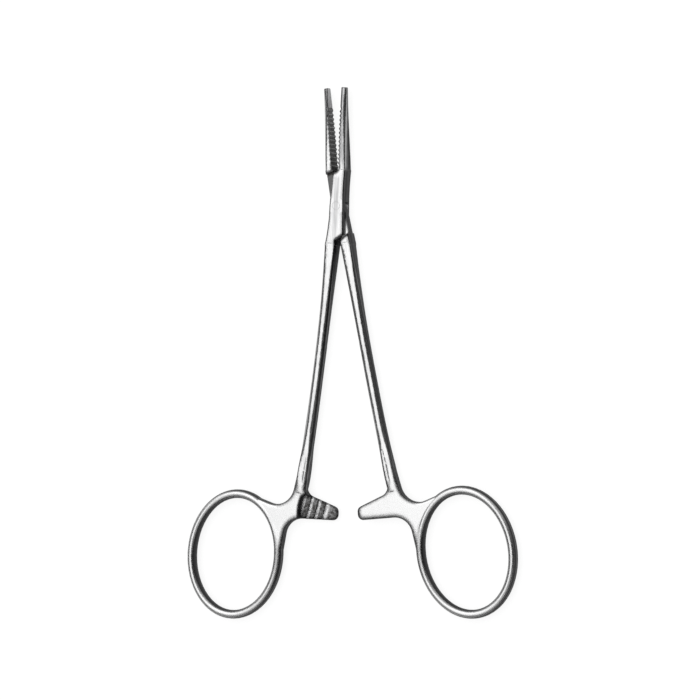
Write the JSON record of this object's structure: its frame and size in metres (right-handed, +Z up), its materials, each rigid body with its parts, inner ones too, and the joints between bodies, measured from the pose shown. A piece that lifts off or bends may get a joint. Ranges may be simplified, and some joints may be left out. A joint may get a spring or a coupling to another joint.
{
  "type": "hemostat forceps",
  "caption": "Straight locking hemostat forceps in satin stainless steel: serrated tapering jaws, box lock, slim shanks, facing ratchet arms and oval finger rings, slightly open.",
  "frame": {"origin": "on the hinge axis, at the underside of the box lock, where the flat-lying instrument rests", "axes": "+Z up out of the flat-lying instrument along the hinge axis; +Y along the closing line towards the jaw tips; +X to the side of the box half's jaw and of the tongue half's finger ring"},
  "size_m": [0.0832, 0.1232, 0.004],
  "materials": {
    "steel_box_half": "satin",
    "steel_tongue_half": "satin",
    "steel_pin": "satin"
  },
  "bodies": {
    "box_body": {"box_half": "steel_box_half", "hinge_pin": "steel_pin"},
    "tongue_body": {"tongue_half": "steel_tongue_half"}
  },
  "joints": [
    {"name": "box_lock_hinge", "type": "hinge", "parent": "box_body", "child": "tongue_body", "pos_m": [0, 0, 0.002], "axis": [0, 0, 1], "range_deg": [-7.2, 35]}
  ]
}
